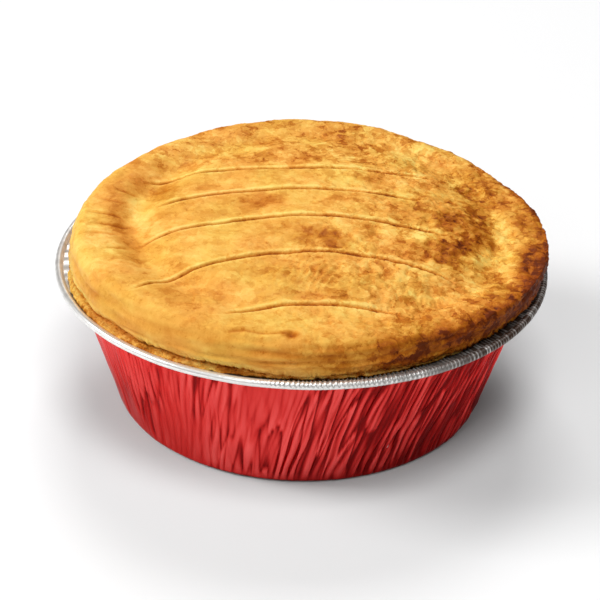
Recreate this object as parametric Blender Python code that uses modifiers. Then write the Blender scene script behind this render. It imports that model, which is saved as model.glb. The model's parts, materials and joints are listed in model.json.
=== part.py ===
"""Single-serve beef pie in its own pressed foil tin.

Three pieces, bottom to top: the foil tin, the pastry case with its filling, and the puffed lid.
The origin is the middle of the tin's base, +Z is up and -Y is the front. Lengths are in metres.
"""

import math

import bmesh
import bpy
from mathutils import Vector, noise

MM = 0.001
GAP = 0.3 * MM                   # clearance between pieces that touch

# Foil tin: one thin sheet, pleated up the wall and across the flange, with a rolled bead.
RIM_RADIUS = 65.0 * MM
RIM_HEIGHT = 38.0 * MM           # height of the bead's middle
BASE_RADIUS = 49.3 * MM
WALL_TOP_RADIUS = 59.9 * MM
SHEET = 0.4 * MM
CORNER_RADIUS = 1.2 * MM
BEAD_RADIUS = 0.95 * MM
BEAD_CURL = (-120, -60, 0, 65, 130)     # degrees round the bead, from its curled end
FLANGE_HEIGHT = RIM_HEIGHT - 0.4 * MM
FLANGE_WIDTH = 2.9 * MM
FLANGE_BEND = 0.3 * MM           # how far the bend into the flange reaches outward
PLEATS = 74
PLEAT_DEPTH = 0.5 * MM           # how far a pleat stands to each side of the wall
TOOTH_DEPTH = 0.15 * MM          # the same pleats where they cross the flange
DEEPEST_PLEAT = 1.25             # the most that uneven pleating multiplies a pleat
FOOT_PLEAT_SHARE = 0.15          # pleats flatten out at the foot of the wall
PLEAT_VARIATION = 9              # how quickly the pleats' depth varies round the tin

# Pastry case and filling: one solid inside the tin, with a flange that lies on the tin's flange.
# Its edge shows only at the front left, where it spreads to the bead; elsewhere the foil shows.
CASE_SEGMENTS = 80
CASE_EDGE_RADIUS = 60.4 * MM
CASE_SPREAD = 2.4 * MM
CASE_SPREAD_ANGLE = math.radians(221)
CASE_SPREAD_REACH = math.radians(31)
CASE_RAGGED = 0.3 * MM
CASE_RAGGED_VARIATION = 6
CASE_EDGE_ROUND = 0.3 * MM
CASE_LIP = 3.0 * MM              # width of the stretch that spreads
SEAM_HEIGHT = RIM_HEIGHT + 1.7 * MM
SEAM_WANDER = ((1, 0.6 * MM, 165),)

# Lid: its outline, crest, widest level and shoulder all wander round the pie.
# A wander is a list of (waves round the pie, amount, direction of the first peak in degrees).
LID_SEGMENTS = 84
LID_CENTRE = Vector((2.0 * MM, -0.9 * MM))
LID_RADIUS = 62.1 * MM
LID_RADIUS_WANDER = ((2, 1.35 * MM, 53), (3, 0.7 * MM, -24), (4, 0.3 * MM, 2))
LID_CREST = RIM_HEIGHT + 12.3 * MM
LID_CREST_WANDER = ((1, 2.0 * MM, 155), (2, 0.45 * MM, 72))
LID_WIDEST = RIM_HEIGHT + 6.3 * MM
LID_WIDEST_WANDER = ((1, 2.0 * MM, -33),)
LID_SHOULDER = 6.1 * MM
LID_SHOULDER_WANDER = ((1, 1.7 * MM, 7),)
LID_SHOULDER_POWER = 0.79        # under 1 makes the shoulder boxier than an ellipse
LID_DOME = RIM_HEIGHT + 14.6 * MM
LID_UNDERCUT = 1.15 * MM
LID_UNDERCUT_WANDER = ((1, 0.85 * MM, 245),)
LID_SIDE_ROW = 0.35              # where the side's middle row lies between foot and widest level
CHANNEL_PLACE = 0.775            # ring channel, as a share of the lid's radius
CHANNEL_PLACE_TO_RIGHT = 0.035
CHANNEL_WIDTH = 6.0 * MM
CHANNEL_WIDTH_TO_RIGHT = 1.0 * MM
CHANNEL_DEPTH = 0.8 * MM
CHANNEL_DEPTH_AT_SIDES = 2.2 * MM
CHANNEL_DEPTH_TO_RIGHT = 0.3 * MM
PUFF_HEIGHT = 0.45 * MM          # uneven puffing of the pastry
PUFF_SIZE = 11.0 * MM

# Knife scores across the lid, back to front, in the lid's own turned plan: where each arc's
# middle lies, its radius, and its left and right ends.
SCORE_TURN = math.radians(4.8)
SCORES = (
    (26.4 * MM, 206 * MM, -43 * MM, 43 * MM),
    (13.1 * MM, 126 * MM, -40 * MM, 33 * MM),
    (-2.5 * MM, 103 * MM, -45 * MM, 38 * MM),
    (-20.5 * MM, 72 * MM, -47 * MM, 37 * MM),
    (-43.3 * MM, 65 * MM, -25 * MM, 23 * MM),
)
SCORE_STEPS = 9
SCORE_CUT_RADIUS = 0.6 * MM
SCORE_LIP_RADIUS = 1.0 * MM      # the far edge of each score lifts in a rounded lip
SCORE_LIP_SET_BACK = 1.3 * MM
SCORE_LIP_SINK = 0.5 * MM

# Creases across the puffed ring on the left: direction in degrees, and inner and outer ends.
CREASES = (
    (173.5, 47 * MM, 57 * MM),
    (181.5, 47 * MM, 58 * MM),
    (188, 46 * MM, 57 * MM),
)
CREASE_STEPS = 4
CREASE_CUT_RADIUS = 0.7 * MM

RED_FOIL = (0.52, 0.02, 0.03, 1.0)
CASE_PASTRY = (0.56, 0.27, 0.07, 1.0)
LID_PASTRY = (0.80, 0.46, 0.13, 1.0)


def clear_scene():
    for item in list(bpy.data.objects):
        bpy.data.objects.remove(item, do_unlink=True)


def new_collection(name):
    collection = bpy.data.collections.new(name)
    bpy.context.scene.collection.children.link(collection)
    return collection


def new_material(name, colour, roughness, metallic):
    material = bpy.data.materials.new(name)
    material.use_nodes = True
    shader = material.node_tree.nodes["Principled BSDF"]
    shader.inputs["Base Color"].default_value = colour
    shader.inputs["Roughness"].default_value = roughness
    shader.inputs["Metallic"].default_value = metallic
    return material


def turned(name, profile, segments, collection):
    """Turn a profile of (radius, height) points round Z and return the plain mesh object."""
    outline = bmesh.new()
    points = [outline.verts.new((radius, 0.0, height)) for radius, height in profile]
    for upper, lower in zip(points, points[1:]):
        outline.edges.new((upper, lower))
    outline_mesh = bpy.data.meshes.new(name + "_profile")
    outline.to_mesh(outline_mesh)
    outline.free()
    blank = bpy.data.objects.new(name + "_profile", outline_mesh)
    collection.objects.link(blank)
    screw = blank.modifiers.new("turn", "SCREW")
    screw.steps = segments
    screw.render_steps = segments
    screw.use_merge_vertices = True
    screw.merge_threshold = 0.01 * MM
    return made_mesh(name, blank, collection)


def made_mesh(name, source, collection):
    """Replace an object by a mesh object that holds its modifiers' result."""
    bpy.context.view_layer.update()
    evaluated = source.evaluated_get(bpy.context.evaluated_depsgraph_get())
    mesh = bpy.data.meshes.new_from_object(evaluated)
    mesh.name = name
    bpy.data.objects.remove(source, do_unlink=True)
    result = bpy.data.objects.new(name, mesh)
    collection.objects.link(result)
    return result


def finish(piece, material):
    piece.data.materials.clear()
    piece.data.materials.append(material)
    piece.data.shade_smooth()
    piece.data.set_sharp_from_angle(angle=math.radians(40))


def smooth_step(value):
    clipped = min(max(value, 0.0), 1.0)
    return clipped * clipped * (3 - 2 * clipped)


def plan_angle(x, y):
    return math.atan2(y, x)


def wander(base, waves, angle):
    return base + sum(
        amount * math.cos(count * (angle - math.radians(peak))) for count, amount, peak in waves
    )


def noise_round(angle, variation, layer):
    """Smooth noise that closes on itself round the pie."""
    return noise.noise(Vector((variation * math.cos(angle), variation * math.sin(angle), layer)))


def seam_height(angle):
    """Level of the case's rim, where the lid rests on it."""
    return wander(SEAM_HEIGHT, SEAM_WANDER, angle)


# Foil tin

WALL_ROWS = (FLANGE_HEIGHT - 0.7 * MM, 0.5 * FLANGE_HEIGHT, CORNER_RADIUS)


def wall_radius(height):
    """Radius of the tin's outer side at a height, pleats left out."""
    rise = (height - CORNER_RADIUS) / (FLANGE_HEIGHT - CORNER_RADIUS)
    return BASE_RADIUS + (WALL_TOP_RADIUS - BASE_RADIUS) * rise


def tin_profile():
    """Red side of the sheet, from the bead's curled end down to the middle of the base."""
    bead_centre = RIM_RADIUS - BEAD_RADIUS
    curl = BEAD_RADIUS - SHEET
    bead = [
        (bead_centre + curl * math.cos(turn), RIM_HEIGHT + curl * math.sin(turn))
        for turn in (math.radians(degrees) for degrees in BEAD_CURL)
    ]
    flange_start = WALL_TOP_RADIUS + FLANGE_BEND
    flange = [(flange_start + FLANGE_WIDTH, FLANGE_HEIGHT), (flange_start, FLANGE_HEIGHT)]
    wall = [(wall_radius(height), height) for height in WALL_ROWS]
    base = [(BASE_RADIUS - CORNER_RADIUS, 0.0), (0.0, 0.0)]
    return bead + flange + wall + base


def pleat_swing(x, y):
    """Which way, and how strongly, the sheet is pleated at this place round the tin."""
    angle = plan_angle(x, y)
    step = round(angle / math.pi * PLEATS)
    side = 1 if step % 2 else -1
    return side * (0.8 + 0.4 * noise_round(angle, PLEAT_VARIATION, 0.0))


def pleat_tin(tin):
    """Push the wall in and out and the flange up and down along the pleats."""
    close = 0.05 * MM
    for vertex in tin.data.vertices:
        x, y, z = vertex.co
        radius = math.hypot(x, y)
        swing = pleat_swing(x, y)
        if any(abs(z - row) < close for row in WALL_ROWS):
            fading = 1.0 if z > 2 * CORNER_RADIUS else FOOT_PLEAT_SHARE
            scale = 1 + swing * fading * PLEAT_DEPTH / radius
            vertex.co.x = x * scale
            vertex.co.y = y * scale
        elif abs(z - FLANGE_HEIGHT) < close:
            vertex.co.z = z + swing * TOOTH_DEPTH


def make_tin(collection):
    tin = turned("foil_tin", tin_profile(), 2 * PLEATS, collection)
    pleat_tin(tin)
    shell = tin.modifiers.new("sheet", "SOLIDIFY")
    shell.thickness = SHEET
    shell.offset = -1.0
    finish(tin, new_material("red_foil", RED_FOIL, 0.35, 0.8))


# Pastry case

def case_profile():
    """Closed profile of case and filling, from the middle of its top to the middle of its base."""
    inset = SHEET + PLEAT_DEPTH * DEEPEST_PLEAT + GAP
    flange_under = FLANGE_HEIGHT + SHEET + TOOTH_DEPTH * DEEPEST_PLEAT + GAP
    edge = CASE_EDGE_RADIUS
    rim = [
        (0.0, SEAM_HEIGHT),
        (edge - CASE_LIP, SEAM_HEIGHT),
        (edge - CASE_EDGE_ROUND, SEAM_HEIGHT),
        (edge, 0.5 * (SEAM_HEIGHT + flange_under)),
        (edge - CASE_EDGE_ROUND, flange_under),
        (edge - CASE_LIP, flange_under),
    ]
    rows = [WALL_ROWS[0] - inset, WALL_ROWS[1], WALL_ROWS[2] + inset]
    wall = [(wall_radius(height) - inset, height) for height in rows]
    base = [(BASE_RADIUS - CORNER_RADIUS - 2 * inset, SHEET + GAP), (0.0, SHEET + GAP)]
    return rim + wall + base


def case_edge_change(x, y):
    """How far the flange's ragged edge departs from its even radius."""
    angle = plan_angle(x, y)
    away = (angle % math.tau - CASE_SPREAD_ANGLE) / CASE_SPREAD_REACH
    spread = CASE_SPREAD * math.exp(-away ** 4)
    return CASE_RAGGED * noise_round(angle, CASE_RAGGED_VARIATION, 4.0) + spread


def make_case(collection):
    case = turned("base_crust", case_profile(), CASE_SEGMENTS, collection)
    lip_start = CASE_EDGE_RADIUS - 0.5 * CASE_LIP
    for vertex in case.data.vertices:
        x, y, z = vertex.co
        radius = math.hypot(x, y)
        if radius > lip_start:
            scale = 1 + case_edge_change(x, y) / radius
            vertex.co.x = x * scale
            vertex.co.y = y * scale
        if radius > CASE_LIP and z > SEAM_HEIGHT - 0.05 * MM:
            vertex.co.z = seam_height(plan_angle(x, y))
    finish(case, new_material("case_pastry", CASE_PASTRY, 0.6, 0.0))


# Lid

def channel_drop(radius, angle, outline):
    """Depth of the ring channel that runs between the puffed edge and the dome."""
    rightward = math.cos(angle)
    middle = (CHANNEL_PLACE + CHANNEL_PLACE_TO_RIGHT * rightward) * outline
    width = CHANNEL_WIDTH + CHANNEL_WIDTH_TO_RIGHT * rightward
    depth = CHANNEL_DEPTH + CHANNEL_DEPTH_AT_SIDES * rightward ** 2 + CHANNEL_DEPTH_TO_RIGHT * rightward
    return depth * math.exp(-((radius - middle) / width) ** 2)


def puff(x, y):
    """Uneven rise of the pastry over a few centimetres."""
    return PUFF_HEIGHT * noise.noise(Vector((x / PUFF_SIZE, y / PUFF_SIZE, 2.0)))


def lid_top_height(x, y):
    """Height of the lid's top inside its crest, at a place given from the lid's middle."""
    radius = math.hypot(x, y)
    angle = plan_angle(x, y)
    outline = wander(LID_RADIUS, LID_RADIUS_WANDER, angle)
    crest = wander(LID_CREST, LID_CREST_WANDER, angle)
    crest_radius = outline - wander(LID_SHOULDER, LID_SHOULDER_WANDER, angle)
    dome = LID_DOME + (crest - LID_DOME) * smooth_step(radius / crest_radius)
    fade = smooth_step((crest_radius - radius) / (4 * MM) + 1)
    return dome - channel_drop(radius, angle, outline) * fade + puff(x, y)


TOP_ROWS = (0.0, 0.14, 0.28, 0.42, 0.54, 0.64, 0.72, 0.79, 0.86, 0.93, 1.0)
SHOULDER_ROWS = tuple(math.radians(degrees) for degrees in (66, 44, 24, 0))
SIDE_ROWS = ("side", "foot", "under")


def lid_row_place(row, angle):
    """Radius and height of one row of the lid's section in one direction."""
    outline = wander(LID_RADIUS, LID_RADIUS_WANDER, angle)
    shoulder = wander(LID_SHOULDER, LID_SHOULDER_WANDER, angle)
    widest = wander(LID_WIDEST, LID_WIDEST_WANDER, angle)
    crest_radius = outline - shoulder
    if row < len(TOP_ROWS):
        radius = TOP_ROWS[row] * crest_radius
        return radius, lid_top_height(radius * math.cos(angle), radius * math.sin(angle))
    row -= len(TOP_ROWS)
    crest = lid_top_height(crest_radius * math.cos(angle), crest_radius * math.sin(angle))
    if row < len(SHOULDER_ROWS):
        turn = SHOULDER_ROWS[row]
        out = max(math.cos(turn), 0.0) ** LID_SHOULDER_POWER
        rise = math.sin(turn) ** LID_SHOULDER_POWER
        return crest_radius + shoulder * out, widest + (crest - widest) * rise
    kind = SIDE_ROWS[row - len(SHOULDER_ROWS)]
    undercut = wander(LID_UNDERCUT, LID_UNDERCUT_WANDER, angle)
    foot = seam_height(angle) + GAP
    if kind == "side":
        return outline - LID_SIDE_ROW * undercut, foot + LID_SIDE_ROW * (widest - foot)
    if kind == "foot":
        return outline - undercut, foot
    return 0.0, SEAM_HEIGHT + GAP


def shaped_lid(collection):
    """Turn a lid with plain rows, then put every row where the pie's own section has it."""
    rows = len(TOP_ROWS) + len(SHOULDER_ROWS) + len(SIDE_ROWS)
    blank = [(min(row, 1) * (row + 1.0), -float(row)) for row in range(rows - 1)]
    blank.append((0.0, 1.0 - rows))
    lid = turned("lid_crust", blank, LID_SEGMENTS, collection)
    for vertex in lid.data.vertices:
        row = round(-vertex.co.z)
        angle = plan_angle(vertex.co.x, vertex.co.y)
        radius, height = lid_row_place(row, angle)
        vertex.co = (
            LID_CENTRE.x + radius * math.cos(angle),
            LID_CENTRE.y + radius * math.sin(angle),
            height,
        )
    return lid


def tube(name, points, radius, collection):
    """Closed four-sided tube along points, made a mesh with its ends welded shut."""
    curve = bpy.data.curves.new(name, "CURVE")
    curve.dimensions = "3D"
    curve.bevel_depth = radius
    curve.bevel_resolution = 0
    curve.use_fill_caps = True
    spline = curve.splines.new("POLY")
    spline.points.add(len(points) - 1)
    for place, point in zip(spline.points, points):
        place.co = (*point, 1.0)
    source = bpy.data.objects.new(name, curve)
    collection.objects.link(source)
    result = made_mesh(name, source, collection)
    shape = bmesh.new()
    shape.from_mesh(result.data)
    bmesh.ops.remove_doubles(shape, verts=shape.verts, dist=0.001 * MM)
    bmesh.ops.recalc_face_normals(shape, faces=shape.faces)
    shape.to_mesh(result.data)
    shape.free()
    return result


def on_lid(x, y, lift):
    height = lid_top_height(x, y) + lift
    return Vector((LID_CENTRE.x + x, LID_CENTRE.y + y, height))


def score_points(score, set_back, lift):
    """Points along one score, set back from the cut and lifted from the surface."""
    middle, radius, left, right = score
    points = []
    for step in range(SCORE_STEPS + 1):
        along = left + (right - left) * step / SCORE_STEPS
        across = middle + math.sqrt(radius ** 2 - along ** 2) - radius + set_back
        x = along * math.cos(SCORE_TURN) - across * math.sin(SCORE_TURN)
        y = along * math.sin(SCORE_TURN) + across * math.cos(SCORE_TURN)
        points.append(on_lid(x, y, lift))
    return points


def crease_points(crease):
    direction, inner, outer = crease
    angle = math.radians(direction)
    points = []
    for step in range(CREASE_STEPS + 1):
        radius = inner + (outer - inner) * step / CREASE_STEPS
        points.append(on_lid(radius * math.cos(angle), radius * math.sin(angle), 0.0))
    return points


def add_tubes(target, name, operation, tubes):
    """Join tubes to the target, or cut them from it, by one Boolean of their own collection."""
    helpers = new_collection(name)
    helpers.hide_render = True
    for number, (points, radius) in enumerate(tubes):
        helper = tube(f"{name}_{number}", points, radius, helpers)
        helper.hide_render = True
        helper.display_type = "WIRE"
    boolean = target.modifiers.new(name, "BOOLEAN")
    boolean.operand_type = "COLLECTION"
    boolean.collection = helpers
    boolean.operation = operation
    boolean.solver = "EXACT"


def make_lid(collection):
    lid = shaped_lid(collection)
    lips = []
    cuts = []
    for score in SCORES:
        lips.append((score_points(score, SCORE_LIP_SET_BACK, -SCORE_LIP_SINK), SCORE_LIP_RADIUS))
        cuts.append((score_points(score, 0.0, 0.0), SCORE_CUT_RADIUS))
    for crease in CREASES:
        cuts.append((crease_points(crease), CREASE_CUT_RADIUS))
    add_tubes(lid, "score_lip", "UNION", lips)
    add_tubes(lid, "score_cut", "DIFFERENCE", cuts)
    lid.modifiers.new("shading", "WEIGHTED_NORMAL")
    finish(lid, new_material("lid_pastry", LID_PASTRY, 0.5, 0.0))


def build():
    clear_scene()
    pie = new_collection("beef_pie")
    make_tin(pie)
    make_case(pie)
    make_lid(pie)


build()
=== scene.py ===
"""Looks of a beef pie with a puffed, scored lid, baked and sold in its own red foil tin.

The sections follow the pie as it is put together: the foil tin's wall, its rolled rim, the
pastry case inside it, and the lid on top. Lengths are in metres, +Z is up, -Y is the front.
"""

import json
import math

import bmesh
import bpy
from mathutils import Matrix, Vector, noise

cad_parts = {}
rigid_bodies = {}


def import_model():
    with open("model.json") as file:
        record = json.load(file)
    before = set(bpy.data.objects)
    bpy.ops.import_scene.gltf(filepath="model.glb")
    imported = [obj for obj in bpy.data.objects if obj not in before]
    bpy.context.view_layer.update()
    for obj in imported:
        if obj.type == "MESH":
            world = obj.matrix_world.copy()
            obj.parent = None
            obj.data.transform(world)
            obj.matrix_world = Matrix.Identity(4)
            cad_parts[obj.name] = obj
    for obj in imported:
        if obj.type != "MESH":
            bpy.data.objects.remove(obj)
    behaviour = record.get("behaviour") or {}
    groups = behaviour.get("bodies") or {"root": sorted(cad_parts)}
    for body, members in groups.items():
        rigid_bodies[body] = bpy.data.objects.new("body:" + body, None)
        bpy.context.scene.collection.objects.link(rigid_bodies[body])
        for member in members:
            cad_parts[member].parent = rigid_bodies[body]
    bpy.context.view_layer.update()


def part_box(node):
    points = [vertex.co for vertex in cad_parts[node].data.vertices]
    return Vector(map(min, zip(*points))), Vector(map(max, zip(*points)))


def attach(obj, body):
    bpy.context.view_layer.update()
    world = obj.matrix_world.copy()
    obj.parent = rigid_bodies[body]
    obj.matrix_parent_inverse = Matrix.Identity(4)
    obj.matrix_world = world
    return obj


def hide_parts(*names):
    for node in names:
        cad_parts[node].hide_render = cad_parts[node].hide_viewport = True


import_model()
for leftover in list(bpy.data.objects):
    if leftover.type in {"LIGHT", "CAMERA"} or leftover.name == "Cube":
        bpy.data.objects.remove(leftover, do_unlink=True)

# -- Foil tin: the wall and base ---------------------------------------------------------------
# One thin sheet of aluminium, lacquered red outside and bare inside, pressed into a round cup.
# Pressing gathers the sheet: fine pleats start under the rim, and they run together in fewer,
# wider folds lower down. On the right the folds lean, where the sheet slipped in the press.

MM = 0.001
TIN_LOW, TIN_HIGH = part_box("foil_tin")
RIM_RADIUS = (TIN_HIGH.x - TIN_LOW.x) / 2
FLANGE_HEIGHT = 37.6 * MM
BASE_RADIUS = 49.3 * MM
WALL_TOP_RADIUS = 59.9 * MM
WALL_TOP_HEIGHT = 37.2 * MM
FOOT_RADIUS = 1.6 * MM
FOIL = 0.03 * MM
WALL_COLUMNS = 1900
WALL_ROWS = 19
BASE_RINGS = (0.93, 0.0)                  # shares of the base's radius
SHEET_RADIUS = 55 * MM                    # about the wall's middle: slips and noises are laid out at it
PLEATS = 224                              # fine pleats round the tin, under the rim
PLEAT_DEPTH = 0.42 * MM
PLEAT_REACH = 13 * MM                     # how far down the wall the pleats reach
PLEAT_FADE = 9 * MM
FOLDS = 128                               # broad folds round the tin, lower down
FOLD_DEPTH = 0.66 * MM
FOLD_WANDER = 2.8                         # sideways wander of the folds, in radians of their wave
FOLD_WANDER_SIZE = 10 * MM
FOLD_KINK = 1.1
FOLD_KINK_SIZE = 4 * MM
FOLD_PATCH = 4.5 * MM                     # folds come and go over this size
FOLD_ROUNDNESS = 0.75                     # below 1: round ridges and sharp creases
FOLD_CREASE = 0.48                        # height on a fold's side below which it counts as crease
CREASE = 2.6 * MM                         # spacing of the stray creases that cross the folds
CREASE_DEPTH = 0.40 * MM
CREASE_STRETCH = 7.0                      # a crease is this many times longer than wide
CREASE_WIDTH = 0.12                       # of the noise's swing: a small share is a narrow crease
SWELL = 9.0 * MM
SWELL_DEPTH = 0.6 * MM
FOLD_SHADING_SPREAD = 0.24 * MM                  # relief over which the painted shading goes from dark in creases to pale on ridges
CALM_SIDE = math.radians(205)             # the sheet is least folded towards this side
CALM_PATCH = 15 * MM
SIDE_SHADE = 0.22 * MM                   # painted shade: the red is darker towards this side
SHADED_SIDE = math.radians(-12)
LEAN = 0.10                               # sideways slip for each millimetre down the wall
EXTRA_LEAN = 0.12
LEAN_PEAK = math.radians(305)
SMOOTHING = 0.30                          # share by which each point is drawn to its neighbours
FOLDED_FROM = 0.9 * BASE_RADIUS           # the middle of the base, inside this, stays flat
SMOOTHED_FROM = 0.95 * BASE_RADIUS


def smooth_step(value):
    clipped = min(max(value, 0.0), 1.0)
    return clipped * clipped * (3 - 2 * clipped)


def lathe(profile, columns):
    """Spin a chain of (radius, height) points once round Z."""
    mesh = bmesh.new()
    chain = [mesh.verts.new((radius, 0.0, height)) for radius, height in profile]
    for upper, lower in zip(chain, chain[1:]):
        mesh.edges.new((upper, lower))
    bmesh.ops.spin(
        mesh, geom=mesh.verts[:] + mesh.edges[:], cent=(0, 0, 0), axis=(0, 0, 1),
        angle=math.tau, steps=columns, use_merge=True, use_duplicate=False,
    )
    bmesh.ops.remove_doubles(mesh, verts=mesh.verts, dist=0.002 * MM)
    bmesh.ops.recalc_face_normals(mesh, faces=mesh.faces)
    return mesh


def new_piece(name, mesh, materials):
    """Turn a bmesh into a smooth shaded object with the given materials."""
    data = bpy.data.meshes.new(name)
    mesh.to_mesh(data)
    mesh.free()
    data.shade_smooth()
    piece = bpy.data.objects.new(name, data)
    bpy.context.scene.collection.objects.link(piece)
    for material in materials:
        data.materials.append(material)
    return piece


def sheet_place(angle, height, size, stretch, layer):
    """Noise coordinates that wrap round the tin and are drawn out down its wall."""
    radius = SHEET_RADIUS / size
    return Vector((radius * math.cos(angle), radius * math.sin(angle), height / (size * stretch) + layer))


def parallel_folds(angle, height, count, layer):
    """Folds side by side that wander and come and go: below 0 in a crease, above on a ridge."""
    drift = FOLD_WANDER * noise.noise(sheet_place(angle, height, FOLD_WANDER_SIZE, 2.4, layer))
    drift += FOLD_KINK * noise.noise(sheet_place(angle, height, FOLD_KINK_SIZE, 2.2, layer + 1))
    patch = noise.noise(sheet_place(angle, height, FOLD_PATCH, 3.2, layer + 2))
    wave = abs(math.sin(0.5 * count * angle + drift)) ** FOLD_ROUNDNESS
    return (wave - FOLD_CREASE) * smooth_step(0.70 + 1.2 * patch)


def stray_creases(place):
    """A crease along each zero line of the noise, with its sheet pushed up on one side."""
    value = noise.noise(place) / CREASE_WIDTH
    return -(1 - smooth_step(abs(value))) + 0.6 * value * math.exp(-(0.6 * value) ** 2)


def sheet_gather(angle, height):
    """How far the pressed sheet stands out from the plain cone, and its folds' share of that."""
    reach = PLEAT_REACH * (1 + 1.3 * noise.noise(sheet_place(angle, 0.0, 3.5 * MM, 1.0, 9.0)))
    near_rim = 1 - smooth_step((FLANGE_HEIGHT - height - reach) / PLEAT_FADE)
    calm = smooth_step(2.2 * math.cos(angle - CALM_SIDE) - 1.2)
    patch = noise.noise(sheet_place(angle, height, CALM_PATCH, 1.5, 11.0))
    creased = smooth_step(0.95 - 0.75 * calm + patch)
    folds = PLEAT_DEPTH * parallel_folds(angle, height, PLEATS, 20.0) * (0.35 + 0.65 * near_rim)
    folds += FOLD_DEPTH * parallel_folds(angle, height, FOLDS, 0.0) * (1 - 0.45 * near_rim)
    folds *= 0.18 + 0.82 * creased
    stray = stray_creases(sheet_place(angle, height, CREASE, CREASE_STRETCH, 5.0))
    folds += CREASE_DEPTH * stray * creased
    swell = noise.noise(sheet_place(angle, height, SWELL, 2.5, 7.0))
    return folds + SWELL_DEPTH * swell, folds


def slip(angle):
    """Sideways slip of the pressed sheet for each metre down the wall."""
    return LEAN + EXTRA_LEAN * smooth_step(0.25 + 0.75 * math.cos(angle - LEAN_PEAK))


def node(tree, kind, **settings):
    """Add a shader node; a setting named like an input sets that input."""
    made = tree.nodes.new("ShaderNode" + kind)
    for name, value in settings.items():
        label = name.replace("_", " ")
        if label in made.inputs:
            made.inputs[label].default_value = value
        else:
            setattr(made, name, value)
    return made


def foil_dents():
    """Node group: the small dents and drawn-out scratches of handled foil, as a height."""
    group = bpy.data.node_groups.new("foil_dents", "ShaderNodeTree")
    group.interface.new_socket("Place", in_out="INPUT", socket_type="NodeSocketVector")
    group.interface.new_socket("Dent Scale", in_out="INPUT", socket_type="NodeSocketFloat")
    group.interface.new_socket("Height", in_out="OUTPUT", socket_type="NodeSocketFloat")
    group.interface.new_socket("Wear", in_out="OUTPUT", socket_type="NodeSocketFloat")
    start = group.nodes.new("NodeGroupInput")
    end = group.nodes.new("NodeGroupOutput")
    broad = node(group, "TexNoise", Detail=4.0, Roughness=0.6, Distortion=0.4)
    fine = node(group, "TexNoise", Detail=2.0, Roughness=0.5)
    finer = node(group, "Math", operation="MULTIPLY")
    finer.inputs[1].default_value = 3.7
    mix = node(group, "Math", operation="MULTIPLY_ADD")
    mix.inputs[1].default_value = 0.35
    link = group.links.new
    link(start.outputs["Place"], broad.inputs["Vector"])
    link(start.outputs["Place"], fine.inputs["Vector"])
    link(start.outputs["Dent Scale"], broad.inputs["Scale"])
    link(start.outputs["Dent Scale"], finer.inputs[0])
    link(finer.outputs[0], fine.inputs["Scale"])
    link(fine.outputs["Fac"], mix.inputs[0])
    link(broad.outputs["Fac"], mix.inputs[2])
    link(mix.outputs[0], end.inputs["Height"])
    link(broad.outputs["Fac"], end.inputs["Wear"])
    return group


FOIL_DENTS = foil_dents()


def foil_material(name, dull, bright, edge, roughness, dent_scale, dent_depth, metallic):
    """Bare or lacquered foil: its colour and gloss drift with the dents in it."""
    material = bpy.data.materials.new(name)
    material.use_nodes = True
    tree = material.node_tree
    shader = tree.nodes["Principled BSDF"]
    shader.inputs["Metallic"].default_value = metallic
    shader.inputs["Specular Tint"].default_value = edge
    place = node(tree, "Attribute", attribute_name="sheet_place")
    dents = node(tree, "Group", node_tree=FOIL_DENTS)
    dents.inputs["Dent Scale"].default_value = dent_scale
    tint = node(tree, "ValToRGB")
    tint.name = "tint"
    tint.color_ramp.elements[0].position = 0.35
    tint.color_ramp.elements[0].color = dull
    tint.color_ramp.elements[1].position = 0.65
    tint.color_ramp.elements[1].color = bright
    gloss = node(tree, "MapRange")
    gloss.inputs["To Min"].default_value = roughness * 1.25
    gloss.inputs["To Max"].default_value = roughness * 0.8
    bump = node(tree, "Bump", Distance=dent_depth, Strength=1.0)
    link = tree.links.new
    link(place.outputs["Vector"], dents.inputs["Place"])
    link(dents.outputs["Wear"], tint.inputs["Fac"])
    link(dents.outputs["Wear"], gloss.inputs["Value"])
    link(dents.outputs["Height"], bump.inputs["Height"])
    link(tint.outputs["Color"], shader.inputs["Base Color"])
    link(gloss.outputs["Result"], shader.inputs["Roughness"])
    link(bump.outputs["Normal"], shader.inputs["Normal"])
    return material


def paint_fold_shading(material, coat):
    """Painted shade darkens the lacquer in the creases and towards one side, painted highlight pales it on
    the ridges, and diffuse rays see a dull colour so the foil casts little red bounce.
    """
    tree = material.node_tree
    shader = tree.nodes["Principled BSDF"]
    fold_shading = node(tree, "Attribute", attribute_name="fold_shading")
    painted_shading = node(tree, "ValToRGB")
    painted_shading.color_ramp.elements[0].position = 0.10
    painted_shading.color_ramp.elements[0].color = (0.24, 0.03, 0.034, 1)
    painted_shading.color_ramp.elements[1].position = 0.92
    painted_shading.color_ramp.elements[1].color = (1.0, 1.0, 1.0, 1)
    painted_shading.color_ramp.elements.new(0.32).color = (0.58, 0.20, 0.20, 1)
    painted_shading.color_ramp.elements.new(0.55).color = (0.84, 0.50, 0.48, 1)
    mixed = node(tree, "Mix", data_type="RGBA", blend_type="MULTIPLY")
    mixed.inputs[0].default_value = 1.0
    bounced = node(tree, "LightPath")
    muted = node(tree, "Mix", data_type="RGBA")
    muted.inputs[7].default_value = (0.20, 0.13, 0.13, 1)
    link = tree.links.new
    link(fold_shading.outputs["Fac"], painted_shading.inputs["Fac"])
    link(tree.nodes["tint"].outputs["Color"], mixed.inputs[6])
    link(painted_shading.outputs["Color"], mixed.inputs[7])
    link(bounced.outputs["Is Diffuse Ray"], muted.inputs[0])
    link(mixed.outputs[2], muted.inputs[6])
    link(muted.outputs[2], shader.inputs["Base Color"])
    shader.inputs["Coat Weight"].default_value = coat
    shader.inputs["Coat Roughness"].default_value = 0.14


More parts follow.
